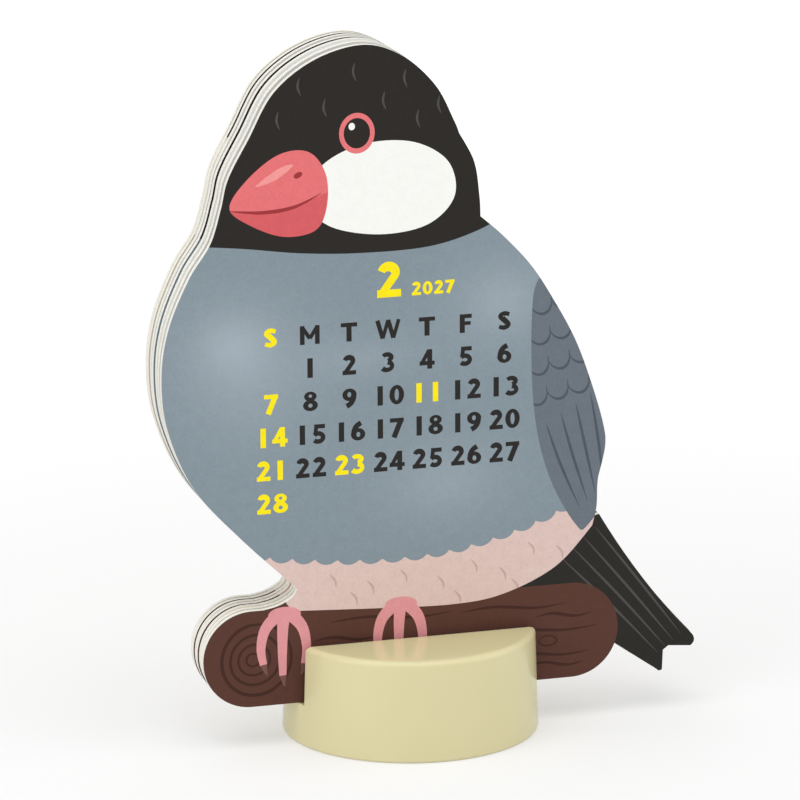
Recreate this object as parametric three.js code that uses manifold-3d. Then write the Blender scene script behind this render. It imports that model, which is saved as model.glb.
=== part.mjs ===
// Desk calendar: seven thick die-cut boards in the outline of a perched finch, standing one
// behind the other in the slot of a round moulded base. Sizes are in millimetres.
// X runs along the boards, Y from the front to the back, Z up; the origin is the middle of
// the base's underside, on the table.

import * as THREE from 'three';
import { mergeVertices } from 'three/addons/utils/BufferGeometryUtils.js';
import Module from 'manifold-3d';

// Base: a round, slightly tapered moulding.
const baseRadius = 30;           // at the table
const baseTaper = 0.75;          // how much narrower the top is, at the radius
const baseHeight = 24;
const topRounding = 1.3;         // along the outer top edge
const footRounding = 0.5;        // along the outer bottom edge
const baseWall = 2;              // wall of the moulding
const ribThickness = 1.6;
const ribSpacing = 24;           // between the two stiffening ribs on each side of the slot
const plateThickness = 2;        // disc that closes the underside
const plateClearance = 0.3;      // round the disc, and above it

// Slot that the boards stand in. It runs right through the base along X.
const slotFront = 8.7;           // from the base's axis forward to the slot's front wall
const slotFloor = 9.9;           // height of its floor
const frontClearance = 1.45;     // from the front wall to the first board
const backClearance = 0.35;      // from the last board to the rear wall, at the slot's mouth

// Boards.
const boardThickness = 1.5;
const boardGap = 0.35;           // between neighbours at their lower edges
const seatGap = 0.3;             // from a board's lower edge to the slot's floor
const boardOffset = -1.5;        // the perch's middle, from the base's axis

// How each board stands, front to back: how far it leans back, in degrees, and how far it
// has been pushed to the side.
const boardStances = [
  { lean: 0, shift: 0 },
  { lean: 0.8, shift: 0.2 },
  { lean: 1.7, shift: 0.4 },
  { lean: 1.9, shift: 0.15 },
  { lean: 2.5, shift: 0.4 },
  { lean: 2.6, shift: 0.2 },
  { lean: 2.9, shift: 0.4 },
];

// The board's outline, seen from the front. Heights are from the board's lower edge.
const perchLength = 100.5;
const perchHeight = 23;          // the perch is a bar with round ends
const bodyWidth = 106;           // across the widest part of the bird's body
const bodyHeight = 90;           // from the perch's top to the neck
const bodyOffset = -6;           // the body's middle, from the perch's middle
const headWidth = 60.4;
const headHeight = 40.6;         // from the neck to the crown
const headOffset = -13.8;
const tailLength = 41.1;         // from the body's edge to the tips
const tailRootWidth = 25;
const tailEndWidth = 11.8;
const tailNotch = 3.7;           // depth of the cut between the tips
const tailAngle = 53.4;          // degrees below the horizontal
const tailEdgeDip = 1.1;         // how far the tail's upper edge bows in
const tipRounding = 1;

const cutMargin = 5;             // how far a cut runs past the faces that it opens

const roundSteps = 96;           // facets round the base
const curveSteps = 5;            // facets to each span of the outline

// Solids for cutting and joining, and back to geometry.
const wasm = await Module();
wasm.setup();

function solidOf(geometry) {
  geometry.deleteAttribute('normal');
  geometry.deleteAttribute('uv');
  const merged = mergeVertices(geometry, 1e-4);
  return new wasm.Manifold(new wasm.Mesh({
    numProp: 3,
    vertProperties: new Float32Array(merged.attributes.position.array),
    triVerts: new Uint32Array(merged.index.array),
  }));
}

function geometryOf(solid) {
  const mesh = solid.getMesh();
  const geometry = new THREE.BufferGeometry();
  geometry.setAttribute('position', new THREE.BufferAttribute(mesh.vertProperties, 3));
  geometry.setIndex(new THREE.BufferAttribute(mesh.triVerts, 1));
  geometry.computeVertexNormals();
  return geometry;
}

// A block from its lowest to its highest corner.
function block(low, high) {
  const size = new THREE.Vector3().subVectors(high, low);
  const middle = new THREE.Vector3().addVectors(low, high).multiplyScalar(0.5);
  const geometry = new THREE.BoxGeometry(size.x, size.y, size.z);
  geometry.translate(middle.x, middle.y, middle.z);
  return solidOf(geometry);
}

// A profile of [radius, height] pairs, turned about the Z axis.
function turned(profile) {
  const points = profile.map(([radius, height]) => new THREE.Vector2(radius, height));
  const geometry = new THREE.LatheGeometry(points, roundSteps);
  geometry.rotateX(Math.PI / 2);
  return solidOf(geometry);
}

// A quarter round of the given radius about a centre, from one angle to another, in degrees.
function quarterRound(centre, radius, from, to) {
  const steps = 5;
  return Array.from({ length: steps + 1 }, (_, i) => {
    const angle = THREE.MathUtils.degToRad(from + ((to - from) * i) / steps);
    return [centre[0] + radius * Math.cos(angle), centre[1] + radius * Math.sin(angle)];
  });
}

// Where the boards stand.
const boardPitch = boardThickness + boardGap;
const firstBoardY = -slotFront + frontClearance;
const stances = boardStances.map(({ lean, shift }, i) => {
  const angle = THREE.MathUtils.degToRad(lean);
  return {
    angle,
    x: boardOffset + shift,
    y: firstBoardY + i * boardPitch,
    z: slotFloor + seatGap + boardThickness * Math.sin(angle),
  };
});

// The slot's rear wall clears the last board where that board leans out of the slot.
const lastBoard = stances[stances.length - 1];
const slotBack = lastBoard.y + boardThickness / Math.cos(lastBoard.angle)
  + (baseHeight - lastBoard.z) * Math.tan(lastBoard.angle) + backClearance;

// Moulded shell: a tapered round body, slotted across, hollow from below and ribbed.
function makeBaseShell() {
  const topRadius = baseRadius - baseTaper;
  const outer = turned([
    [0, 0],
    ...quarterRound([baseRadius - footRounding, footRounding], footRounding, -90, 0),
    ...quarterRound([topRadius - topRounding, baseHeight - topRounding], topRounding, 0, 90),
    [0, baseHeight],
  ]);
  const reach = baseRadius + cutMargin;
  const slot = block(
    new THREE.Vector3(-reach, -slotFront, slotFloor),
    new THREE.Vector3(reach, slotBack, baseHeight + cutMargin),
  );
  const hollow = turned([
    [0, -cutMargin],
    [baseRadius - baseWall, -cutMargin],
    [baseRadius - baseWall, 0],
    [topRadius - baseWall, baseHeight - baseWall],
    [0, baseHeight - baseWall],
  ]);
  // The slot's own walls and floor, and the ribs, stay inside the hollow above the disc.
  const innerFoot = plateThickness + plateClearance;
  const trough = block(
    new THREE.Vector3(-reach, -slotFront - baseWall, innerFoot),
    new THREE.Vector3(reach, slotBack + baseWall, baseHeight + cutMargin),
  );
  const troughHollow = block(
    new THREE.Vector3(-reach, -slotFront, -cutMargin),
    new THREE.Vector3(reach, slotBack, slotFloor - baseWall),
  );
  const ribs = [-ribSpacing / 2, ribSpacing / 2].map((x) => block(
    new THREE.Vector3(x - ribThickness / 2, -reach, innerFoot),
    new THREE.Vector3(x + ribThickness / 2, reach, baseHeight + cutMargin),
  ));
  const inside = hollow.subtract(trough.subtract(troughHollow)).subtract(ribs[0]).subtract(ribs[1]);
  return geometryOf(outer.subtract(slot).subtract(inside));
}

// Disc pressed into the underside, level with the shell's foot.
function makeBasePlate() {
  const radius = baseRadius - baseWall - plateClearance;
  return geometryOf(turned([
    [0, 0],
    [radius - baseTaper * (plateThickness / baseHeight), 0],
    [radius - baseTaper * (plateThickness / baseHeight), plateThickness],
    [0, plateThickness],
  ]));
}

// Points of the bird's outline. The body's are shares of half its width, out from its
// middle, and of its height above the perch; the head's likewise, above the neck.
function onBody([across, up]) {
  return new THREE.Vector2(bodyOffset + (across * bodyWidth) / 2, perchHeight + up * bodyHeight);
}

function onHead([across, up]) {
  const neck = perchHeight + bodyHeight;
  return new THREE.Vector2(headOffset + (across * headWidth) / 2, neck + up * headHeight);
}

const legShares = [[-0.6, -0.003], [-0.5, 0.0075], [-0.43, 0.0285], [-0.409, 0.05]];
const flankShares = [[-0.656, 0.192], [-0.862, 0.333], [-0.975, 0.49], [-1, 0.628], [-0.966, 0.754],
  [-0.873, 0.88], [-0.777, 0.966]];
const crownShares = [[-1.02, 0.12], [-0.96, 0.29], [-0.8, 0.507], [-0.598, 0.764], [-0.276, 0.935], [0.1, 1],
  [0.405, 0.922], [0.657, 0.746], [0.8, 0.542]];
const browCornerShares = [0.84, 0.468];
const cheekShares = [[0.959, 0.298], [1, 0.1]];
const napeCornerShares = [1.008, -0.02];
const backShares = [[0.53, 0.937], [0.659, 0.853], [0.77, 0.75], [0.864, 0.645], [0.937, 0.528],
  [0.99, 0.42], [0.999, 0.36], [0.967, 0.279]];
const rumpShares = [[0.963, 0.25], [0.96, 0.2], [0.94, 0.15]];
const bellyShares = [[0.771, 0.049], [0.528, -0.013], [0.286, -0.029], [-0.1, -0.02]];

function birdShape() {
  const shape = new THREE.Shape();
  const start = onBody(legShares[0]);
  shape.moveTo(start.x, start.y);
  shape.splineThru(legShares.slice(1).map(onBody));
  shape.splineThru([...flankShares.map(onBody), ...crownShares.map(onHead), onHead(browCornerShares)]);
  shape.splineThru([...cheekShares, napeCornerShares].map(onHead));
  shape.splineThru(backShares.map(onBody));
  shape.splineThru(rumpShares.map(onBody));
  shape.splineThru(bellyShares.map(onBody));
  shape.lineTo(start.x, start.y);
  return shape;
}

// Bar with round ends that the bird sits on.
function perchShape() {
  const radius = perchHeight / 2;
  const straight = perchLength / 2 - radius;
  const shape = new THREE.Shape();
  shape.moveTo(straight, 0);
  shape.absarc(straight, radius, radius, -Math.PI / 2, Math.PI / 2, false);
  shape.absarc(-straight, radius, radius, Math.PI / 2, (3 * Math.PI) / 2, false);
  shape.closePath();
  return shape;
}

// Tail feathers with a notched end. The tail's own frame starts on the body's edge: its first
// axis runs down the upper edge, its second square to it, towards the outside.
const tailRootShares = [0.972, 0.18];
const tailInsideShares = [0.45, 0.1];   // the root's inner corner, inside the body
const notchFloorShares = [0.52, 0.66];  // of the end's width, between the two tips
const tailHiddenShare = 0.3;            // of the tail's length, where its lower edge meets the perch

function tailShape() {
  const root = onBody(tailRootShares);
  const angle = THREE.MathUtils.degToRad(tailAngle);
  const place = (along, across) => new THREE.Vector2(
    root.x + along * Math.cos(angle) + across * Math.sin(angle),
    root.y - along * Math.sin(angle) + across * Math.cos(angle),
  );
  const shape = new THREE.Shape();
  const to = (along, across) => shape.lineTo(...place(along, across).toArray());
  const bend = (corner, end) => shape.quadraticCurveTo(
    ...place(...corner).toArray(),
    ...place(...end).toArray(),
  );
  shape.moveTo(...place(0, 0).toArray());
  bend([tailLength / 2, -2 * tailEdgeDip], [tailLength - 2 * tipRounding, 0]);
  bend([tailLength, 0], [tailLength, -2 * tipRounding]);
  notchFloorShares.forEach((share) => to(tailLength - tailNotch, -tailEndWidth * share));
  to(tailLength, -tailEndWidth + tipRounding);
  bend([tailLength, -tailEndWidth], [tailLength - tipRounding, -tailEndWidth]);
  // The lower edge runs in behind the perch, and the root ends inside the perch and the body.
  to(
    tailLength * tailHiddenShare,
    -THREE.MathUtils.lerp(tailRootWidth, tailEndWidth, tailHiddenShare),
  );
  const inside = onBody(tailInsideShares);
  shape.lineTo(inside.x, perchHeight / 2);
  shape.lineTo(inside.x, inside.y);
  shape.closePath();
  return shape;
}

// A board: bird, perch and tail cut as one outline. Its front face lies in the plane y = 0
// and its lower edge on z = 0, so it can be leant back about that edge.
function makeBoard() {
  const solids = [birdShape(), perchShape(), tailShape()].map((shape) => {
    const geometry = new THREE.ExtrudeGeometry(shape, {
      depth: boardThickness,
      bevelEnabled: false,
      curveSegments: curveSteps,
    });
    geometry.rotateX(Math.PI / 2);
    geometry.translate(0, boardThickness, 0);
    return solidOf(geometry);
  });
  return geometryOf(solids[0].add(solids[1]).add(solids[2]));
}

// Assembly.
const basePlastic = new THREE.MeshStandardMaterial({ color: 0xd6cb9b, roughness: 0.3, metalness: 0 });
const platePlastic = new THREE.MeshStandardMaterial({ color: 0xcbc08f, roughness: 0.5, metalness: 0 });
const board = new THREE.MeshStandardMaterial({ color: 0xeceadc, roughness: 0.8, metalness: 0 });

function named(name, geometry, material) {
  const mesh = new THREE.Mesh(geometry, material);
  mesh.name = name;
  return mesh;
}

const calendar = new THREE.Group();
calendar.add(named('base_shell', makeBaseShell(), basePlastic));
calendar.add(named('base_plate', makeBasePlate(), platePlastic));

const boardGeometry = makeBoard();
stances.forEach((stance, i) => {
  const mesh = named(`board_${i + 1}`, boardGeometry, board);
  mesh.position.set(stance.x, stance.y, stance.z);
  mesh.rotation.x = -stance.angle;
  calendar.add(mesh);
});

export default calendar;
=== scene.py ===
import calendar
import math

import bmesh
import bpy
import numpy as np
from mathutils import Matrix, Vector
from mathutils.geometry import delaunay_2d_cdt


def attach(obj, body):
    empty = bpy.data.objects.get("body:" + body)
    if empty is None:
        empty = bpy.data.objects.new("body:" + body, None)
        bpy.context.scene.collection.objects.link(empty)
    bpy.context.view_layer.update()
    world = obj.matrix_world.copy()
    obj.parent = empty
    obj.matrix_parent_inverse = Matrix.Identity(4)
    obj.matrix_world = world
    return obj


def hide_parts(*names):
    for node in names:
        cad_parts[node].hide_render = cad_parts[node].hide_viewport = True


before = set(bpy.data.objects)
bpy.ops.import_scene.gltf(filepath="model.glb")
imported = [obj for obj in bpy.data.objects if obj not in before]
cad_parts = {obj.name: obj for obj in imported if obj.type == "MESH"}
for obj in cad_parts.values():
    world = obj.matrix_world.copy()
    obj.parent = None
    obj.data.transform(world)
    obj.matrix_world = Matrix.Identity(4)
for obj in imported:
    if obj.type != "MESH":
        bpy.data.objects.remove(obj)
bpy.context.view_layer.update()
mm = 0.001
print("frame loaded:", sorted(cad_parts))


def linked(data):                            # an object of the data's name, in the scene
    made = bpy.data.objects.new(data.name, data)
    bpy.context.collection.objects.link(made)
    return made


cameraSettings = {
    "pixels": 800,                           # the photograph's width and height
    "sensor": 36,                            # in mm, for the whole width
    "focal": 5276.3, "shift": (-7.624, -3.780),              # in the photograph's pixels
    "target": (-0.3, 0, 79.4), "distance": 1218.96,          # in mm
    "elevation": 14.351, "yaw": 16.541, "roll": -0.289,      # in degrees; the yaw is round to the left
    "farthest": 20,                          # in metres
}


def makeCamera(s):
    e, y, r = (math.radians(s[k]) for k in ("elevation", "yaw", "roll"))
    back = Vector((-math.sin(y) * math.cos(e), -math.cos(y) * math.cos(e), math.sin(e)))
    right = Vector((math.cos(y), -math.sin(y), 0))
    up = right.cross(-back)
    right, up = math.cos(r) * right + math.sin(r) * up, -math.sin(r) * right + math.cos(r) * up
    data = bpy.data.cameras.new("camera")
    data.sensor_width = s["sensor"]
    data.lens = s["focal"] / s["pixels"] * s["sensor"]
    data.shift_x, data.shift_y = (shift / s["pixels"] for shift in s["shift"])
    data.clip_end = s["farthest"]
    camera = linked(data)
    place = Vector([v * mm for v in s["target"]]) + back * (s["distance"] * mm)
    turn = Matrix((right, up, back)).transposed()
    camera.matrix_world = Matrix.LocRotScale(place, turn.to_quaternion(), None)
    bpy.context.scene.camera = camera


makeCamera(cameraSettings)
print("camera placed")


# A socket of a material's node tree. Arithmetic on it adds Math nodes, and node() adds any other.
# A ramp's stops are pairs of a place and a grey level.
class Wire:
    def __init__(self, tree, socket=None):
        self.tree, self.socket = tree, socket

    def node(self, kind, settings=None, inputs=None, out=0):
        made = self.tree.nodes.new(kind)
        for key, value in (settings or {}).items():
            if key == "stops":
                while len(made.color_ramp.elements) < len(value):
                    made.color_ramp.elements.new(0.5)
                for element, (at, level) in zip(made.color_ramp.elements, value):
                    element.position, element.color = at, (level, level, level, 1)
            else:
                setattr(made, key, value)
        for key, value in (inputs or {}).items():
            if isinstance(value, Wire):
                self.tree.links.new(value.socket, made.inputs[key])
            else:
                made.inputs[key].default_value = value
        return Wire(self.tree, made.outputs[out])

    def math(self, operation, *values):
        return self.node("ShaderNodeMath", {"operation": operation}, dict(enumerate(values)))

    def __add__(self, other):
        return self.math("ADD", self, other)

    def __sub__(self, other):
        return self.math("SUBTRACT", self, other)

    def __rsub__(self, other):
        return self.math("SUBTRACT", other, self)

    def __mul__(self, other):
        return self.math("MULTIPLY", self, other)

    def __truediv__(self, other):
        return self.math("DIVIDE", self, other)

    def __pow__(self, other):
        return self.math("POWER", self, other)

    __radd__ = __add__
    __rmul__ = __mul__

    def mixed(self, first, second):          # first where this is 0, second where it is 1
        return self.node("ShaderNodeMix", {"data_type": "RGBA", "clamp_factor": True},
                         {0: self, 6: first, 7: second}, 2)

    def ramp(self, *stops):
        return self.node("ShaderNodeValToRGB", {"stops": stops}, {0: self})

    def noise(self, scale, detail=2.0, stretch=(1, 1, 1)):   # on this vector, in 1 per metre
        place = self.node("ShaderNodeMapping", {}, {"Vector": self, "Scale": stretch})
        return self.node("ShaderNodeTexNoise", {}, {"Vector": place, "Scale": scale, "Detail": detail})


def linear(colour):                          # from 0-255 as seen on a screen
    c = np.array(colour, float) / 255
    c = np.where(c <= 0.04045, c / 12.92, ((c + 0.055) / 1.055) ** 2.4)
    return (*c, 1.0)


def shifted(colour, by):                     # lighter or darker by a share
    c = np.array(colour[:3], float)
    return (*np.clip(c * (1 + by), 0, 1), 1.0)


def startMaterial(name, **sockets):
    material = bpy.data.materials.new(name)
    material.use_nodes = True
    shader = material.node_tree.nodes["Principled BSDF"]
    for key, value in sockets.items():
        shader.inputs[key.replace("_", " ")].default_value = value
    tree = Wire(material.node_tree)
    place = tree.node("ShaderNodeTexCoord", out=3)
    return material, shader, tree, place


def plug(shader, key, wire):
    wire.tree.links.new(wire.socket, shader.inputs[key])


def bump(height, strength, distance):
    inputs = {"Height": height, "Strength": strength, "Distance": distance}
    return height.node("ShaderNodeBump", {}, inputs)


# The outline of a board, in mm: across from the perch's middle, up from its lower edge.
outline = {
    "perchLength": 100.5, "perchHeight": 23.0, "perchSteps": 49,
    "bodyWidth": 106.0, "bodyHeight": 90.0, "bodyOffset": -6.0,
    "headWidth": 60.4, "headHeight": 40.6, "headOffset": -13.8,
    "tailFrom": (0.972, 0.18), "tailInside": (0.45, 0.1),    # as shares of the body
    "tailLength": 41.1, "tailRoot": 25.0, "tailEnd": 11.8, "tailNotch": 3.7, "tailAngle": 53.4,
    "tailDip": 1.1, "tip": 1.0,
    "notchShares": (0.52, 0.66),             # of the end's width, from the upper tip
    "lowerShare": 0.3,                       # of its length, where the tail's lower edge bends
    "steps": 14,                             # to each span of a curve
}


# Between two points the curve is the cubic through both whose slope at each is half of the way
# from the point before it to the point after it.
def cubic(a, b, c, d, steps):
    t = np.linspace(0, 1, steps, endpoint=False)[None, :, None]
    m, n = (c - a) / 2, (d - b) / 2
    curve = (2*t**3 - 3*t**2 + 1)*b + (t**3 - 2*t**2 + t)*m + (3*t**2 - 2*t**3)*c + (t**3 - t**2)*n
    return curve.reshape(-1, 2)


def splineThrough(points, steps=None):
    p = np.array(points, float)
    p = np.vstack([p[:1], p, p[-1:]])[:, None]
    return cubic(p[:-3], p[1:-2], p[2:-1], p[3:], steps or outline["steps"])


def loopThrough(points, steps=8):
    p = np.array(points, float)
    return cubic(*(np.roll(p, s, axis=0)[:, None] for s in (1, 0, -1, -2)), steps)


def onBody(points):
    p = np.array(points, float)
    s = outline
    return np.c_[s["bodyOffset"] + p[:, 0]*s["bodyWidth"]/2, s["perchHeight"] + p[:, 1]*s["bodyHeight"]]


def onHead(points):
    p = np.array(points, float)
    s = outline
    neck = s["perchHeight"] + s["bodyHeight"]
    return np.c_[s["headOffset"] + p[:, 0]*s["headWidth"]/2, neck + p[:, 1]*s["headHeight"]]


def birdOutline():
    leg = onBody([[-0.6, -0.003], [-0.5, 0.0075], [-0.43, 0.0285], [-0.409, 0.05]])
    flank = onBody([[-0.409, 0.05], [-0.656, 0.192], [-0.862, 0.333], [-0.975, 0.49], [-1, 0.628],
                    [-0.966, 0.754], [-0.873, 0.88], [-0.777, 0.966]])
    crown = onHead([[-1.02, 0.12], [-0.96, 0.29], [-0.8, 0.507], [-0.598, 0.764], [-0.276, 0.935],
                    [0.1, 1], [0.405, 0.922], [0.657, 0.746], [0.8, 0.542], [0.84, 0.468]])
    cheek = onHead([[0.84, 0.468], [0.959, 0.298], [1, 0.1], [1.008, -0.02]])
    back = onBody([[0.53, 0.937], [0.659, 0.853], [0.77, 0.75], [0.864, 0.645], [0.937, 0.528],
                   [0.99, 0.42], [0.999, 0.36], [0.967, 0.279]])
    rump = onBody([[0.967, 0.279], [0.963, 0.25], [0.96, 0.2], [0.94, 0.15]])
    belly = onBody([[0.94, 0.15], [0.771, 0.049], [0.528, -0.013], [0.286, -0.029], [-0.1, -0.02]])
    runs = [leg, np.vstack([flank, crown]), cheek, np.vstack([cheek[-1:], back]), rump, belly]
    return np.vstack([splineThrough(run) for run in runs] + [belly[-1:]])


def perchOutline():                          # a bar with half-round ends
    r = outline["perchHeight"] / 2
    t = np.linspace(-np.pi/2, np.pi/2, outline["perchSteps"])
    right = np.c_[outline["perchLength"]/2 - r + r*np.cos(t), r + r*np.sin(t)]
    return np.vstack([right, right[::-1] * [-1, 1]])


def onTail(along, across):                   # along the tail's upper edge, and square to it
    root = onBody([outline["tailFrom"]])[0]
    a = math.radians(outline["tailAngle"])
    return np.array([root[0] + along*math.cos(a) + across*math.sin(a),
                     root[1] - along*math.sin(a) + across*math.cos(a)])


def bendTo(start, corner, end, steps=10):    # parabola from start to end, drawn towards the corner
    t = np.linspace(0, 1, steps + 1)[:-1, None]
    return (1-t)**2*start + 2*t*(1-t)*corner + t**2*end


def tailOutline():
    s = outline
    run, wide, tip = s["tailLength"], s["tailEnd"], s["tip"]
    notch = [onTail(run - s["tailNotch"], -wide*share) for share in s["notchShares"]]
    lower = s["tailRoot"] + (wide - s["tailRoot"])*s["lowerShare"]
    inside = onBody([s["tailInside"]])[0]
    return np.vstack([
        bendTo(onTail(0, 0), onTail(run/2, -2*s["tailDip"]), onTail(run - 2*tip, 0)),
        bendTo(onTail(run - 2*tip, 0), onTail(run, 0), onTail(run, -2*tip)), [onTail(run, -2*tip)],
        notch,
        bendTo(onTail(run, tip - wide), onTail(run, -wide), onTail(run - tip, -wide)),
        [onTail(run - tip, -wide), onTail(run*s["lowerShare"], -lower)],
        [[inside[0], s["perchHeight"]/2], inside]])


birdLoop, perchLoop, tailLoop = birdOutline(), perchOutline(), tailOutline()


# The print is made of shapes: each shape is a list of loops, and a loop inside another is a hole.
def band(points, width, closed=False):       # a line of a width; the width may change along it
    p = np.array(points, float)
    d = np.gradient(p, axis=0)
    if closed:
        d = np.roll(p, -1, axis=0) - np.roll(p, 1, axis=0)
    d /= np.linalg.norm(d, axis=1)[:, None]
    n = np.c_[-d[:, 1], d[:, 0]] * (np.ones(len(p)) * width)[:, None] / 2
    return [p + n, p - n] if closed else [np.vstack([p + n, (p - n)[::-1]])]


def oval(x, y, rx, ry, turn=0.0, steps=40):
    t = np.linspace(0, 2*np.pi, steps, endpoint=False)
    a = math.radians(turn)
    u, v = rx*np.cos(t), ry*np.sin(t)
    return np.c_[x + u*math.cos(a) - v*math.sin(a), y + u*math.sin(a) + v*math.cos(a)]


def arc(x, y, rx, ry, start, end, steps=14):
    t = np.radians(np.linspace(start, end, steps))
    return np.c_[x + rx*np.cos(t), y + ry*np.sin(t)]


def bar(x0, y0, x1, y1):
    return [np.array([[x0, y0], [x1, y0], [x1, y1], [x0, y1]], float)]


lettering = {
    "weight": 0.28, "cell": 0.86,            # a stroke's width and a figure's cell, in figure heights
    "pitch": 9.29, "row": 7.84,              # from column to column and from row to row, in mm
    "first": (-33.4, 85.1),                  # where Sunday's letter stands on a front
    "digit": 4.6, "heading": 4.4, "month": 8.1, "year": 3.1,             # heights
    "title": 9.7, "monthOffset": 0.3, "yearOffset": 10.8,    # up from the letters, right of the middle
}


def widths(ends, middle, count):             # a stroke's widths, from its ends to its middle
    return ends + (middle - ends)*np.sin(np.linspace(0, np.pi, count))


def makeGlyphs(b):                           # each figure's shapes, 1 high, and its width
    six = [[oval(0.37, 0.32, 0.37, 0.32), oval(0.38, 0.31, 0.1, 0.13)],
           band(splineThrough([[0.15, 0.3], [0.17, 0.53], [0.3, 0.76], [0.55, 0.92]], 6), 0.27)]
    return {
        "0": ([[oval(0.38, 0.5, 0.38, 0.5), oval(0.38, 0.5, 0.11, 0.3)]], 0.76),
        "1": ([bar(0, 0, b, 1)], b),
        "2": ([band(np.vstack([arc(0.33, 0.7, 0.21, 0.19, 165, -25), [[0.14, 0.12]]]),
                    widths(0.22, 0.28, 15)), bar(0, 0, 0.7, 0.22)], 0.7),
        "3": ([band(arc(0.27, 0.74, 0.23, 0.155, 150, -80), widths(0.2, 0.25, 14)),
               band(arc(0.27, 0.3, 0.27, 0.2, 82, -150), widths(0.27, 0.22, 14))], 0.68),
        "4": ([bar(0.4, 0, 0.66, 1), bar(0, 0.19, 0.79, 0.4),
               band([[0.1, 0.26], [0.48, 0.93]], 0.2)], 0.79),
        "5": ([bar(0.1, 0.78, 0.66, 1), band([[0.21, 0.9], [0.16, 0.45]], 0.21),
               band(arc(0.3, 0.32, 0.26, 0.21, 140, -142), widths(0.24, 0.24, 14))], 0.7),
        "6": (six, 0.74),
        "7": ([bar(0, 0.78, 0.72, 1), band([[0.57, 0.88], [0.2, 0.0]], 0.28)], 0.72),
        "8": ([[oval(0.38, 0.75, 0.32, 0.25), oval(0.38, 0.77, 0.09, 0.08)],
               [oval(0.38, 0.29, 0.38, 0.29), oval(0.38, 0.28, 0.11, 0.1)]], 0.76),
        "9": ([[[0.74, 1.0] - loop for loop in loops] for loops in six], 0.74),
        "S": ([band(splineThrough([[0.64, 0.82], [0.38, 0.88], [0.16, 0.74], [0.37, 0.52], [0.57, 0.28],
                                   [0.35, 0.12], [0.04, 0.2]], 6), widths(0.21, 0.3, 36))], 0.72),
        "M": ([bar(0, 0, 0.25, 1), bar(0.81, 0, 1.06, 1), band([[0.1, 0.97], [0.53, 0.32]], 0.21),
               band([[0.96, 0.97], [0.53, 0.32]], 0.21)], 1.06),
        "T": ([bar(0.3, 0, 0.58, 1), bar(0, 0.78, 0.88, 1)], 0.88),
        "W": ([band([[0.12, 1.0], [0.41, 0.02]], 0.24), band([[0.41, 0.02], [0.7, 1.0]], 0.2),
               band([[0.7, 1.0], [0.99, 0.02]], 0.24), band([[0.99, 0.02], [1.28, 1.0]], 0.2)], 1.4),
        "F": ([bar(0, 0, 0.28, 1), bar(0, 0.78, 0.66, 1), bar(0, 0.41, 0.6, 0.61)], 0.66),
    }


glyphs = makeGlyphs(lettering["weight"])


def words(text, x, y, height, side):         # figures in equal cells, centred on x and standing on y
    shapes = []
    for i, char in enumerate(text):
        drawn, width = glyphs[char]
        at = (i - (len(text) - 1)/2)*lettering["cell"] - width/2
        for shape in drawn:
            shapes.append([(loop + [at, 0])*[height*side, height] + [x, y] for loop in shape])
    return shapes


# A month's shapes, in dark and in bright ink. The side is 1 on a front and -1 on a back.
def monthPrint(year, month, marked, side):
    s = lettering
    left, top = s["first"]
    middle, title = left + 3*s["pitch"], top + s["title"]
    column = [middle + side*(i - 3)*s["pitch"] for i in range(7)]
    firstDay, days = calendar.monthrange(year, month)
    dark, bright = [], []
    bright += words(str(month), middle + side*s["monthOffset"], title, s["month"], side)
    bright += words(str(year), middle + side*s["yearOffset"], title, s["year"], side)
    for i, letter in enumerate("SMTWTFS"):
        ink = dark if i else bright
        ink += words(letter, column[i], top, s["heading"], side)
    for day in range(1, days + 1):
        row, i = divmod((firstDay + 1) % 7 + day - 1, 7)
        ink = bright if i == 0 or day in marked else dark
        ink += words(str(day), column[i], top - (row + 1)*s["row"], s["digit"], side)
    return dark, bright


def scallops(points, depth, width):          # a curve whose edge hangs in rounded tips
    p = splineThrough(points, 24)
    run = np.r_[0, np.cumsum(np.linalg.norm(np.diff(p, axis=0), axis=1))]
    at = np.linspace(0, run[-1], int(run[-1]/width*12))
    q = np.c_[np.interp(at, run, p[:, 0]), np.interp(at, run, p[:, 1])]
    d = np.gradient(q, axis=0)
    d /= np.linalg.norm(d, axis=1)[:, None]
    return q + np.c_[d[:, 1], -d[:, 0]]*depth*np.abs(np.sin(np.pi*at/width))[:, None]**0.6


# A row of rounded feather tips, as bands that are widest in the middle.
def tipRow(start, step, count, width, height, turn):
    t = np.linspace(-1, 1, 15)
    a = math.radians(turn)
    turned = [[math.cos(a), math.sin(a)], [-math.sin(a), math.cos(a)]]
    tip = np.c_[t*width/2, -height*(1 - t**2)**0.6] @ turned
    swell = 0.18 + 0.5*(1 - t**2)
    return [band(tip + np.array(start) + i*np.array(step), swell) for i in range(count)]


def plume(points, widest):                   # a line that swells to its middle
    p = splineThrough(points, 8)
    return band(p, widest*np.sin(np.linspace(0.12, np.pi - 0.12, len(p))))


def strokes(starts, bend):                   # short feather strokes, alike but for their place
    return [plume([[x, y]] + [[x + a, y + b] for a, b in bend], 0.55) for x, y in starts]


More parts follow.
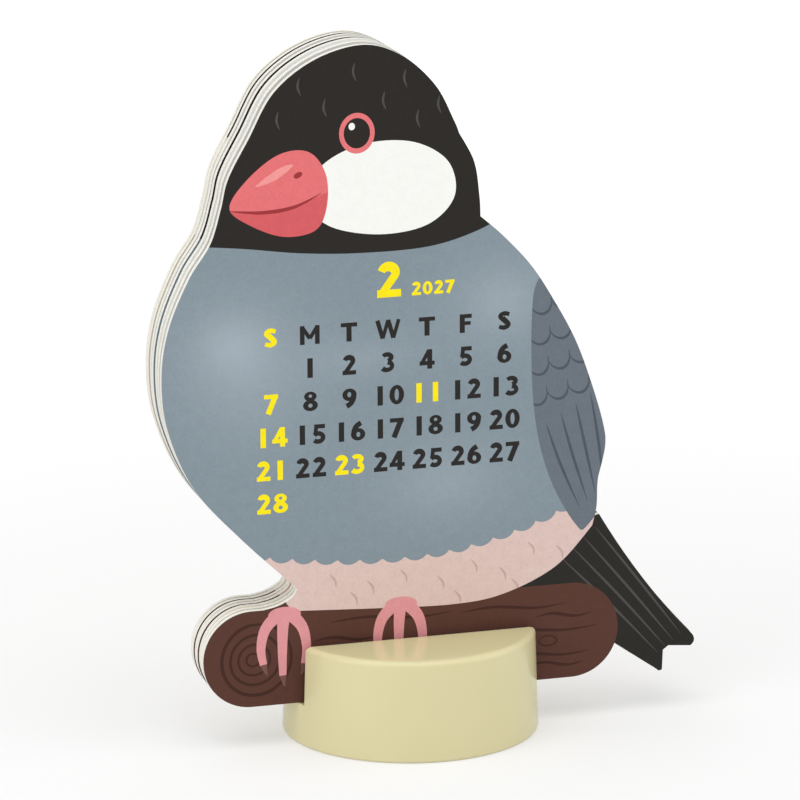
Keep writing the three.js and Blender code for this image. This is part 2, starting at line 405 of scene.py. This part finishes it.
# The print's shapes, in mm on the board. Where one ends past the board, the board's edge cuts it.
wingLoop = loopThrough([[29, 88], [31, 97], [38, 99], [46, 88], [53, 70], [51, 50], [43, 37], [39.5, 37.5],
                        [33, 50], [29.5, 66]])
headLoop = np.vstack([splineThrough([[-54, 110], [-40, 108.5], [-26, 106.5], [-12, 105.6], [4, 106],
                                     [16, 109], [26, 114]]), [[26, 160], [-54, 160]]])
capLoop = np.vstack([splineThrough([[-54, 136], [-38, 131], [-26, 131.5], [-12, 133.8], [2, 132.4],
                                    [10, 127], [16, 119], [22, 116]]), [[26, 160], [-54, 160]]])
cheekLoop = loopThrough([[-25, 121], [-19.5, 127.5], [-10, 131], [1, 130.5], [9, 125.5], [10.5, 117.5],
                         [4.5, 111.4], [-6, 109.6], [-17, 111.4], [-23, 115.4]])
bellyLoop = np.vstack([scallops([[-60, 43], [-46, 38], [-30, 35.2], [-12, 33.4], [6, 33.6], [22, 36.6],
                                 [36, 41.5], [52, 49]], 1.5, 5.4), [[60, 10], [-60, 10]]])
billLoop = loopThrough([[-42.6, 118], [-38.5, 124.2], [-31, 129.6], [-24, 129.8], [-20, 124.5],
                        [-19.8, 117], [-22.5, 111.6], [-30, 110.6], [-38, 113.8]])
lowerBill = np.vstack([splineThrough([[-43, 117.2], [-35, 116.4], [-27.5, 117.2], [-18, 121]]),
                       [[-16, 106], [-44, 106]]])
billShine = loopThrough([[-36.5, 122.6], [-31, 126.4], [-27.6, 127], [-31.6, 123.9]])
billLine = plume([[-42.6, 117.3], [-35, 116.5], [-27.5, 117.3], [-20.6, 120.3]], 0.9)
nostril = [oval(-26.5, 124.6, 1.1, 0.65, 25)]
eyelid, pupil = oval(-12.6, 133.4, 4.2, 4.7), oval(-12.6, 133.4, 3.1, 3.5)
spark = oval(-13.8, 135, 0.75, 0.85)
crook = np.array([[-52, 20], [-52, 25.2], [-31, 25.2], [-29.2, 22.6], [-24, 20]])        # bark by the belly

feet = {
    "places": (-31, -3), "top": 22,          # the middles of the feet, and where their toes start
    "palm": (0.2, 21.5, 3.9, 1.9),           # across from the middle, up, and its reach both ways
    # each toe's place beside the middle, its reach, its drop over the perch, and its claw's bend
    "toes": ((-0.9, -4.6, 12.5, 0.3), (0.1, -0.5, 15.5, 0.15), (1.1, 4.3, 13, -0.3)),
    "curl": 0.86,                            # share of the reach that a toe ends at
    "thick": 3.1, "thin": 1.7, "point": 0.3,
}


def footShapes(s, x):                        # a palm and three toes that curl over the perch
    across, up, wide, high = s["palm"]
    shapes = [[oval(x + across, up, wide, high)]]
    for place, reach, drop, _ in s["toes"]:
        a, b = x + place, s["top"]
        p = splineThrough([[a, b], [a + 0.75*reach, b - 0.28*drop], [a + reach, b - 0.66*drop],
                           [a + s["curl"]*reach, b - drop]], 8)
        shapes.append(band(p, np.linspace(s["thick"], s["thin"], len(p))))
    return shapes


def clawShapes(s, x):                        # a pointed claw at the end of each toe
    shapes = []
    for place, reach, drop, bend in s["toes"]:
        a, b = x + place + s["curl"]*reach, s["top"] - drop
        p = splineThrough([[a, b + 0.4], [a + bend, b - 1], [a + 3*bend, b - 2.4]], 6)
        shapes.append(band(p, np.linspace(s["thin"], s["point"], len(p))))
    return shapes


def barkMarks():                             # rings on the perch's end, its grain and a knot
    rings = [band(oval(-38.6 + 0.12*r, 11.3, r, 0.96*r, 8*r), 0.45 + 0.04*r, True)
             for r in (1.6, 3.8, 6.1, 8.6)]
    lines = ((-26, 4.4, 34), (-20, 18.6, 30), (-18, 9.6, 26), (12, 18.2, 26), (16, 12.2, 30),
             (20, 6.2, 24), (2, 3.4, 20), (-24, 14.4, 16), (30, 15.4, 14), (28, 3.6, 14))
    grain = [plume([[x, y], [x + w*0.3, y + 0.6], [x + w*0.7, y - 0.5], [x + w, y + 0.2]], 0.75)
             for x, y, w in lines]
    return rings + grain + [band(oval(33, 9.4, 2.2, 1.2), 0.4, True)]


def tailQuills():
    return [plume([onTail(2, -2.6 - 3.6*i), onTail(20, -2.2 - 2.9*i), onTail(38.5, -2.1 - 2.3*i)], 0.6)
            for i in range(4)]


def wingFeathers():                          # four rows of small tips, and five long pens below them
    rows = [tipRow((31 - 0.35*r, 91.5 - 7.2*r), (5.1, 1.1), 5, 5.6, 3.4, 22) for r in range(4)]
    pens = [plume([[32.5 + 3.6*i, 62 + 2.2*i], [36 + 3.1*i, 52 + 1.6*i], [41 + 1.9*i, 40.5 + 1.4*i]], 0.7)
            for i in range(5)]
    return [tip for row in rows for tip in row] + pens


# From back to front, each layer is an ink, its shapes and the loop that they stay inside, if any.
def finchLayers():
    marks = barkMarks()
    down = strokes(((-20, 30.3), (-11, 28), (-3, 30), (6, 27.6), (14, 31), (21, 28.5), (28, 34),
                    (35, 32.5), (-15, 25.6), (10, 23.8), (24, 25.4)), ((1.4, -1.7), (1.6, -3.6)))
    nape = strokes(((-26, 147), (-13, 149.6), (-1, 147.5), (7, 141), (-31, 139.5), (-20, 141.8),
                    (-6, 142.6), (2, 138)), ((-0.4, -2.2), (0.4, -4.4)))
    toes = [shape for x in feet["places"] for shape in footShapes(feet, x)]
    claws = [shape for x in feet["places"] for shape in clawShapes(feet, x)]
    return [
        ("tail", [[tailLoop]], None), ("quill", tailQuills(), tailLoop),
        ("perch", [[perchLoop]], None), ("bark", marks, perchLoop),
        ("body", [[birdLoop]], None), ("belly", [[bellyLoop]], birdLoop), ("down", down, birdLoop),
        ("perch", [[crook]], None), ("foot", toes, None), ("claw", claws, None),
        ("wing", [[wingLoop]], birdLoop), ("pen", wingFeathers(), wingLoop),
        ("head", [[headLoop]], birdLoop), ("cap", [[capLoop]], birdLoop), ("quill", nape, birdLoop),
        ("cheek", [[cheekLoop]], birdLoop),
        ("bill", [[billLoop]], birdLoop), ("jaw", [[lowerBill]], billLoop),
        ("gape", [billLine, nostril], billLoop), ("shine", [[billShine]], billLoop),
        ("lid", [[eyelid]], None), ("pupil", [[pupil]], None), ("cheek", [[spark]], None),
    ]


# A point is inside where a line to its right crosses the loops an odd number of times.
def insideOf(points, loops):
    a = np.vstack(loops)
    b = np.vstack([np.roll(loop, -1, axis=0) for loop in loops])
    near = np.all((points >= a.min(0)) & (points <= a.max(0)), axis=1)
    p = points[near][:, None]
    spans = (a[:, 1] > p[..., 1]) != (b[:, 1] > p[..., 1])
    rise = np.where(b[:, 1] == a[:, 1], 1, b[:, 1] - a[:, 1])
    x = a[:, 0] + (p[..., 1] - a[:, 1])*(b[:, 0] - a[:, 0])/rise
    result = np.zeros(len(points), bool)
    result[near] = (spans & (x > p[..., 0])).sum(1) % 2 == 1
    return result


# Each point's ink is that of the last layer that holds it, or else what it was before.
def painted(points, layers, inks, ink=None):
    ink = np.full(len(points), -1) if ink is None else ink.copy()
    limits = {}
    for name, shapes, within in layers:
        held = np.zeros(len(points), bool)
        for loops in shapes:
            held |= insideOf(points, loops)
        if within is not None:
            if id(within) not in limits:
                limits[id(within)] = insideOf(points, [within])
            held &= limits[id(within)]
        ink[held] = inks.index(name)
    return ink


mapUnit = 100                                # mm on the board to 1 on its own map

# The boards as the solids have them, in mm.
boardCut = {
    "thickness": 1.5, "gap": 0.35,           # the gap is between neighbours at their lower edges
    "offset": -1.5,                          # the perch's middle, from the base's axis
    "front": -7.25, "floor": 10.2,           # the first board's front face, and the lower edges
    # each board's lean in degrees and its shift to the side, from front to back
    "stances": ((0, 0), (0.8, 0.2), (1.7, 0.4), (1.9, 0.15), (2.5, 0.4), (2.6, 0.2), (2.9, 0.4)),
    "merge": 1e-4,                           # points as near as this are one
    "sharp": 32,                             # degrees from which an edge is sharp
}


def partition(loops):                        # triangles that no loop crosses, as arrays
    sizes = [len(loop) for loop in loops]
    starts = np.cumsum([0] + sizes[:-1])
    points = [Vector(p) for p in np.vstack(loops).tolist()]
    edges = [np.c_[np.arange(n) + s, (np.arange(n) + 1) % n + s] for n, s in zip(sizes, starts)]
    found = delaunay_2d_cdt(points, np.vstack(edges).tolist(), [], 0, boardCut["merge"], False)
    return np.array([tuple(v) for v in found[0]]), np.array(found[2], int)


def boardFace(loops):                        # points, triangles within the outline, and their middles
    points, triangles = partition(loops)
    middles = points[triangles].mean(1)
    kept = insideOf(middles, [birdLoop]) | insideOf(middles, [perchLoop]) | insideOf(middles, [tailLoop])
    used, corners = np.unique(triangles[kept], return_inverse=True)
    return points[used], corners.reshape(-1, 3), middles[kept]


def rimOf(triangles, count):                 # the edges that only one triangle has
    edges = triangles[:, [0, 1, 1, 2, 2, 0]].reshape(-1, 2)
    keys = np.sort(edges, axis=1) @ [count, 1]
    _, first, counts = np.unique(keys, return_index=True, return_counts=True)
    return edges[first[counts == 1]]


def standing(points, index):                 # from a board's own place, in mm, to its place in the row
    s = boardCut
    lean, shift = s["stances"][index]
    a = math.radians(lean)
    x, y, z = points.T
    return np.c_[x + s["offset"] + shift,
                 y*math.cos(a) + z*math.sin(a) + s["front"] + index*(s["thickness"] + s["gap"]),
                 z*math.cos(a) - y*math.sin(a) + s["floor"] + s["thickness"]*math.sin(a)] * mm


# The outline's triangles make the front face and, turned over, the back face. The edges that only
# one triangle has carry a wall of the board's thickness between them.
def boardMesh(name, index, art, front, back):
    loops = [loop for layer in art + front + back for shape in layer[1] for loop in shape]
    points, triangles, middles = boardFace(loops)
    n, t = len(points), boardCut["thickness"]
    rim = rimOf(triangles, n)
    walls = np.c_[rim[:, 0], rim[:, 0] + n, rim[:, 1] + n, rim[:, 1]]
    corners = np.vstack([np.c_[points[:, 0], np.full(n, depth), points[:, 1]] for depth in (0, t)])
    faces = triangles.tolist() + (triangles[:, ::-1] + n).tolist() + walls.tolist()
    mesh = bpy.data.meshes.new(name)
    mesh.from_pydata(standing(corners, index), [], faces)
    ink = painted(middles, art, inkNames)
    slots = np.r_[painted(middles, front, inkNames, ink), painted(middles, back, inkNames, ink),
                  np.full(len(walls), len(inkNames))]
    mesh.polygons.foreach_set("material_index", slots.astype(np.int32))
    # The flat faces' own map is their place on the board, and the wall's is its run and its depth.
    flat = np.vstack([points[triangles].reshape(-1, 2), points[triangles[:, ::-1]].reshape(-1, 2)])
    run = (points[rim] @ [0.8, 1.0]).repeat(2, axis=1)
    edge = np.c_[run.ravel(), np.tile([0, t, t, 0], len(walls))]
    onBoard = np.vstack([flat, edge])/mapUnit
    mesh.uv_layers.new(name="onBoard").data.foreach_set("uv", onBoard.ravel())
    return mesh


def boardPiece(index, art, front, back, materials):
    mesh = boardMesh(f"board_{index + 1}_print", index, art, front, back)
    for material in materials:
        mesh.materials.append(material)
    mesh.update()
    mesh.shade_smooth()
    mesh.set_sharp_from_angle(angle=math.radians(boardCut["sharp"]))
    piece = linked(mesh)
    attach(piece, f"board_{index + 1}")
    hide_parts(f"board_{index + 1}")
    print(piece.name, len(mesh.polygons), "faces")


inkNames = ("perch", "bark", "tail", "quill", "body", "belly", "down", "wing", "pen", "head", "cap",
            "cheek", "bill", "jaw", "gape", "shine", "lid", "pupil", "foot", "claw", "dark", "bright")
# Colours as seen on a screen, from 0 to 255: those of all the boards, and of the two kinds of perch.
common = {"bill": (229, 116, 118), "jaw": (214, 96, 100), "gape": (158, 56, 60), "shine": (241, 154, 152),
          "lid": (229, 120, 122), "pupil": (44, 40, 37), "foot": (224, 152, 156), "claw": (118, 84, 78),
          "cheek": (246, 247, 242), "dark": (44, 42, 40), "bright": (255, 232, 25)}
brownPerch = {"perch": (90, 58, 49), "bark": (68, 42, 35)}
birchPerch = {"perch": (236, 227, 209), "bark": (190, 173, 148), "foot": (238, 208, 196)}
# Each board's plumage, front to back.
plumages = (
    {"body": (131, 145, 154), "belly": (220, 194, 187), "down": (198, 168, 162), "wing": (107, 116, 125),
     "pen": (80, 88, 97), "head": (43, 40, 37), "cap": (43, 40, 37), "tail": (44, 42, 39),
     "quill": (78, 76, 74), **brownPerch},
    {"body": (243, 240, 232), "belly": (246, 231, 210), "down": (222, 198, 168), "wing": (214, 182, 146),
     "pen": (176, 142, 108), "head": (246, 244, 238), "cap": (245, 242, 235), "tail": (176, 142, 108),
     "quill": (214, 190, 160), "bright": (206, 78, 72), **birchPerch},
    {"body": (241, 241, 237), "belly": (240, 236, 233), "down": (206, 204, 205), "wing": (168, 176, 186),
     "pen": (130, 140, 152), "head": (245, 245, 241), "cap": (240, 241, 238), "tail": (122, 128, 136),
     "quill": (172, 178, 186), "bright": (206, 78, 72), **birchPerch},
    {"body": (118, 132, 144), "belly": (226, 190, 176), "down": (200, 160, 148), "wing": (92, 102, 112),
     "pen": (68, 76, 86), "head": (37, 35, 33), "cap": (37, 35, 33), "tail": (42, 39, 37),
     "quill": (74, 72, 70), **brownPerch},
    {"body": (243, 241, 234), "belly": (245, 234, 226), "down": (222, 202, 190), "wing": (226, 196, 178),
     "pen": (192, 154, 134), "head": (246, 244, 239), "cap": (244, 241, 234), "tail": (196, 162, 144),
     "quill": (220, 200, 188), "bright": (206, 78, 72), **birchPerch},
    {"body": (212, 200, 184), "belly": (238, 226, 210), "down": (208, 190, 168), "wing": (150, 126, 106),
     "pen": (116, 94, 78), "head": (242, 237, 226), "cap": (52, 44, 39), "tail": (84, 68, 58),
     "quill": (120, 102, 90), "bright": (206, 78, 72), **brownPerch},
    {"body": (246, 240, 224), "belly": (249, 244, 232), "down": (226, 210, 182), "wing": (214, 200, 168),
     "pen": (180, 162, 128), "head": (247, 242, 229), "cap": (244, 238, 222), "tail": (178, 158, 128),
     "quill": (208, 192, 166), "bright": (206, 78, 72), **birchPerch},
)


# Noise scales are in 1 per metre and bump depths in metres. A glow is a paler spot in the body's ink.
card = {
    "roughness": 0.62, "specular": 0.12,
    "mottle": ((420, 3, 0.45), (1500, 2, 0.55)),             # scale, detail and share
    "mottleEnds": ((0.36, 0), (0.64, 1)),
    "inkShare": 0.05, "whiteShare": 0.02, "white": 200,      # of the tone; from this level ink is white
    "fibres": (2600, 3), "fibreBump": (0.25, 0.00005),
    "pale": (0.4, (162, 168, 174)),          # share of the ink's colour, and what is added to it
    # middle across and up, reach across and up in mm, share of the pale tone
    "glows": ((-42, 86, 13, 11, 0.24), (-38, 74, 20, 18, 0.1), (8, 50, 20, 12, 0.15),
              (22, 92, 14, 12, 0.2), (-12, 81, 18, 6, 0.1)),
    "edge": (238, 236, 226), "edgeRoughness": 0.8,
    "layers": (30, 2, (1, 40, 1)), "layerEnds": ((0.35, 0), (0.65, 1)),
    "layerShares": (-0.05, 0.02), "layerBump": (0.4, 0.0001),
}


def glowOn(tree, s):                         # how much of the pale tone each place on the board takes
    onBoard = tree.node("ShaderNodeUVMap", {"uv_map": "onBoard"})
    across, upward = (tree.node("ShaderNodeSeparateXYZ", {}, {0: onBoard}, axis) for axis in (0, 1))
    light = 0
    for x, y, wide, high, share in s["glows"]:
        right, up = (across - x/mapUnit)/(wide/mapUnit), (upward - y/mapUnit)/(high/mapUnit)
        light = share*(1 + (right**2 + up**2))**-2 + light
    return light


def inkFinish(name, colour, s, glows):       # matt print on card, with faint mottling and fibres
    material, shader, tree, place = startMaterial(
        name, Roughness=s["roughness"], Specular_IOR_Level=s["specular"])
    tone = linear(colour)
    coarse, fine = (place.noise(scale, detail)*share for scale, detail, share in s["mottle"])
    share = s["inkShare"] if min(colour) < s["white"] else s["whiteShare"]
    tint = (coarse + fine).ramp(*s["mottleEnds"]).mixed(shifted(tone, -share), shifted(tone, share))
    if glows:
        kept, added = s["pale"]
        pale = np.minimum(255, np.array(colour)*kept + added)
        tint = glowOn(tree, s).mixed(tint, linear(pale))
    plug(shader, "Base Color", tint)
    plug(shader, "Normal", bump(place.noise(*s["fibres"]), *s["fibreBump"]))
    return material


def cardEdge(name, s):                       # cut edge of layered card
    material, shader, tree, place = startMaterial(name, Roughness=s["edgeRoughness"])
    tone = linear(s["edge"])
    onBoard = tree.node("ShaderNodeUVMap", {"uv_map": "onBoard"})
    layer = onBoard.noise(*s["layers"]).ramp(*s["layerEnds"])
    plug(shader, "Base Color", layer.mixed(*(shifted(tone, share) for share in s["layerShares"])))
    plug(shader, "Normal", bump(layer, *s["layerBump"]))
    return material


# The months' year, and the bright dates of each month that has some.
dates = {"year": 2027, "bright": {2: (11, 23)}}


def makeBoards():
    edge, art, mixedInks = cardEdge("card edge", card), finchLayers(), {}
    blank = [("dark", [], None)]
    months = [monthPrint(dates["year"], m, dates["bright"].get(m, ()), -1 if m % 2 else 1)
              for m in range(1, 13)]
    dated = [[("dark", dark, None), ("bright", bright, None)] for dark, bright in months]
    fronts = dated[1::2] + [blank]           # February on the first board, April on the next
    backs = dated[2::2] + [blank, dated[0]]  # March behind February; January on the last board's back
    for index, ownInks in enumerate(plumages):
        plumage, inks = {**common, **ownInks}, []
        for key in inkNames:                 # boards share an ink of the same colour
            colour, glows = plumage[key], key == "body"
            if (colour, glows) not in mixedInks:
                mixedInks[colour, glows] = inkFinish(f"{key} ink {index + 1}", colour, card, glows)
            inks.append(mixedInks[colour, glows])
        boardPiece(index, art, fronts[index], backs[index], inks + [edge])


makeBoards()
print("boards made")


# The base is a round moulding that tapers a little, with a block in front of the slot and one
# behind. Sizes are in mm, and the steps are points along each stretch.
base = {
    "radius": 30, "taper": 0.75, "height": 24, "floor": 9.9,
    "wallFront": 8.7, "wallBack": 6.397,     # the slot's walls, from the base's axis
    "topRound": 1.3, "footRound": 0.7, "edgeRound": 0.45, "corner": 0.3,
    "recess": 2.3, "inside": 28.0,           # the underside's, which the disc fills
    "arcSteps": 145, "cornerSteps": 13, "wallSteps": 25, "mouthSteps": 17, "topSteps": 9, "footSteps": 7,
    "centre": 0.001,                         # radius of the recess's innermost ring
    "crown": (0.6, 0.4),                     # of the wall's place and of the radius, to the top's middle
    "crownShares": (0.08, 0.5, 0.99999),     # of the way there, for the rings that close the top
    "merge": 2e-6, "sharp": 35,              # in metres, and degrees from which an edge is sharp
    "plastic": (218, 209, 164), "gloss": 0.16,
    "discPlastic": (206, 196, 150), "discGloss": 0.45,       # gloss is the least roughness
}


def gridFaces(rows, columns):                # quads of a grid that closes on itself along its rows
    i, j = np.meshgrid(np.arange(rows - 1), np.arange(columns), indexing="ij")
    a, b = i*columns + j, i*columns + (j + 1) % columns
    return np.stack([a, b, b + columns, a + columns], -1).reshape(-1, 4)


def radiusAt(s, z):                          # of the tapered side
    return s["radius"] - s["taper"]*z/s["height"]


def quarter(steps):                          # shares of the run in and of the rise along a quarter round
    t = np.linspace(0, np.pi/2, steps)
    return 1 - np.cos(t), np.sin(t)


# A circle cut by a wall, with both corners rounded, each touching circle and wall. It comes in two
# parts after its first angle: the arc from the right corner to the left one, and the way back.
def blockRing(s, radius, wall):
    corner = s["corner"]
    across = math.sqrt((radius - corner)**2 - (wall + corner)**2)
    lean = -math.atan2(wall + corner, across)
    t = np.linspace(lean, -np.pi - lean, s["arcSteps"])
    side = np.linspace(lean, np.pi/2, s["cornerSteps"])[1:]
    rounding = np.c_[across + corner*np.cos(side), corner*np.sin(side) - wall - corner]
    along = np.linspace(-across, across, s["wallSteps"])[1:-1]
    straight = np.c_[along, np.full(len(along), -wall)]
    back = np.vstack([rounding*[-1, 1], straight, rounding[::-1]])
    return lean, radius*np.c_[np.cos(t), np.sin(t)], back


def mouths(s, front, back):                  # angles along the slot's two mouths, clockwise
    ends = ((-np.pi - front, -np.pi + back), (-back, front))
    return [np.linspace(start, end, s["mouthSteps"])[1:-1] for start, end in ends]


# A profile of radius and height, turned about the axis: recess, foot rounding and tapered side. The
# angles are those of the blocks' arcs and of the mouths between them, so that the pieces meet.
def turnedBody(s, front, back):
    inward, rise = quarter(s["footSteps"])
    foot = s["footRound"]
    profile = np.vstack([
        [[s["centre"], s["recess"]], [s["inside"], s["recess"]], [s["inside"], 0.0]],
        np.c_[s["radius"] - foot*inward[::-1], foot*(1 - rise[::-1])],
        [[radiusAt(s, s["floor"]), s["floor"]]]])
    left, right = mouths(s, front, back)
    frontArc = np.linspace(front, -np.pi - front, s["arcSteps"])
    backArc = np.linspace(-np.pi + back, -2*np.pi - back, s["arcSteps"])
    t = np.r_[frontArc, left, backArc, right]
    ring = np.c_[np.cos(t), np.sin(t)]
    heights = np.broadcast_to(profile[:, None, 1:], (len(profile), len(t), 1))
    points = np.concatenate([profile[:, None, :1]*ring, heights], 2)
    return points.reshape(-1, 3), gridFaces(len(profile), len(t)).tolist()


# The ring, carried up the side, drawn in along the top rounding and closed to a point on the top.
def slotBlock(s, wall, side):
    start, top, rounding = s["floor"], s["height"], s["topRound"]
    levels = [(start, 0.0, 0.0), ((start + top)/2, 0.0, 0.0)]
    for into, up in zip(*quarter(s["topSteps"])):
        levels.append((top - rounding + rounding*up, rounding*into, s["edgeRound"]*into))
    rings = []
    for z, into, wallInto in levels:
        ring = np.vstack(blockRing(s, radiusAt(s, z) - into, wall + wallInto)[1:])
        rings.append(np.c_[ring, np.full(len(ring), z)])
    wallShare, radiusShare = s["crown"]
    middle = np.array([0, -wallShare*wall - radiusShare*s["radius"], top])
    rings += [rings[-1] + (middle - rings[-1])*share for share in s["crownShares"]]
    return np.vstack(rings)*[1, side, 1], gridFaces(len(rings), len(rings[0])).tolist()


# One flat face: along the front wall, the right mouth, the back wall and the left mouth.
def slotFloor(s, front, back):
    radius = radiusAt(s, s["floor"])
    left, right = (radius*np.c_[np.cos(t), np.sin(t)] for t in mouths(s, front[0], back[0]))
    backArc, backWall = back[1]*[1, -1], back[2]*[1, -1]
    loop = np.vstack([front[1][-1:], front[2], front[1][:1], right[::-1],
                      backArc[:1], backWall[::-1], backArc[-1:], left[::-1]])
    return np.c_[loop, np.full(len(loop), s["floor"])], [list(range(len(loop)))]


def baseMesh(s):                             # body, slot floor and blocks, joined where they meet
    front, back = (blockRing(s, radiusAt(s, s["floor"]), s[wall]) for wall in ("wallFront", "wallBack"))
    points, faces, start = [], [], 0
    for p, f in (turnedBody(s, front[0], back[0]), slotFloor(s, front, back),
                 slotBlock(s, s["wallFront"], 1), slotBlock(s, s["wallBack"], -1)):
        points.append(p)
        faces += [[corner + start for corner in face] for face in f]
        start += len(p)
    mesh = bpy.data.meshes.new("base_moulding")
    mesh.from_pydata(np.vstack(points)*mm, [], faces)
    joined = bmesh.new()
    joined.from_mesh(mesh)
    bmesh.ops.remove_doubles(joined, verts=joined.verts, dist=s["merge"])
    bmesh.ops.recalc_face_normals(joined, faces=joined.faces)
    joined.to_mesh(mesh)
    joined.free()
    return mesh


# Moulded plastic has a soft sheen, faint clouds and ripples, and fine handling marks.
plastic = {
    "specular": 0.38,
    "clouds": (45, 1), "cloudEnds": ((0.3, 0), (0.7, 1)), "cloudShares": (-0.015, 0.015),
    "marks": (150, 1), "markEnds": ((0.3, 0), (0.8, 1)), "markRoughness": 0.03,
    "ripples": (90, 0), "rippleBump": (0.08, 0.00003),
}


def plasticFinish(name, colour, roughness, s):
    material, shader, tree, place = startMaterial(name, Specular_IOR_Level=s["specular"])
    tone = linear(colour)
    cloud = place.noise(*s["clouds"]).ramp(*s["cloudEnds"])
    plug(shader, "Base Color", cloud.mixed(*(shifted(tone, share) for share in s["cloudShares"])))
    marks = place.noise(*s["marks"]).ramp(*s["markEnds"])
    plug(shader, "Roughness", marks*s["markRoughness"] + roughness)
    plug(shader, "Normal", bump(place.noise(*s["ripples"]), *s["rippleBump"]))
    return material


def makeBase(s):
    mesh = baseMesh(s)
    mesh.materials.append(plasticFinish("cream plastic", s["plastic"], s["gloss"], plastic))
    mesh.shade_smooth()
    mesh.set_sharp_from_angle(angle=math.radians(s["sharp"]))
    piece = linked(mesh)
    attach(piece, "base")
    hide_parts("base_shell")
    print(piece.name, len(mesh.polygons), "faces")
    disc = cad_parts["base_plate"].material_slots[0]
    disc.material = plasticFinish("cream disc", s["discPlastic"], s["discGloss"], plastic)


makeBase(base)
print("base made")


studio = {
    # the floor's tone, its own light for every ray, and what the camera sees on top, near and far
    "floorTone": 0.55, "floorGlow": 0.23, "floorLift": 0.12, "farLift": 0.35,
    "distances": ((0.15, 0), (0.9, 1)),      # in metres from the origin, where near ends and far begins
    "corners": ((-5, -5, 0), (5, -5, 0), (5, 7, 0), (-5, 7, 0)), "floorRoughness": 0.9,
    "sky": 0.66, "aim": (0, 0, 0.07),        # the lamps face this place
    # name, place, width, height, power in watts
    "lamps": (("overhead", (-0.2, -0.37, 1.5), 1.8, 1.2, 11.3),
              ("left", (-1.2, -0.6, 0.5), 1.0, 1.0, 4.8),
              ("right", (1.2, -0.5, 0.5), 1.0, 1.0, 3.2)),
}


def makeFloor(s):
    mesh = bpy.data.meshes.new("floor")
    mesh.from_pydata(s["corners"], [], [(0, 1, 2, 3)])
    tone = (s["floorTone"],)*3 + (1,)
    material, shader, tree, place = startMaterial(
        "floor", Roughness=s["floorRoughness"], Base_Color=tone, Emission_Strength=1.0)
    length = place.node("ShaderNodeVectorMath", {"operation": "LENGTH"}, {0: place}, 1)
    cameraRay = tree.node("ShaderNodeLightPath")
    seen = cameraRay*(length.ramp(*s["distances"])*s["farLift"] + s["floorLift"])
    plug(shader, "Emission Color", seen + s["floorGlow"])
    mesh.materials.append(material)
    floor = linked(mesh)


def makeSky(s):
    world = bpy.data.worlds.new("studio")
    bpy.context.scene.world = world
    world.use_nodes = True
    background = world.node_tree.nodes["Background"].inputs
    background["Color"].default_value = (1, 1, 1, 1)
    background["Strength"].default_value = s["sky"]


def makeLamps(s):
    for name, place, width, height, power in s["lamps"]:
        data = bpy.data.lights.new(name, "AREA")
        data.shape, data.size, data.size_y, data.energy = "RECTANGLE", width, height, power
        lamp = linked(data)
        lamp.location = place
        lamp.rotation_euler = (Vector(s["aim"]) - Vector(place)).to_track_quat("-Z", "Y").to_euler()


makeFloor(studio)
makeSky(studio)
makeLamps(studio)
bpy.context.scene.view_settings.view_transform = "Standard"
print("stage set")
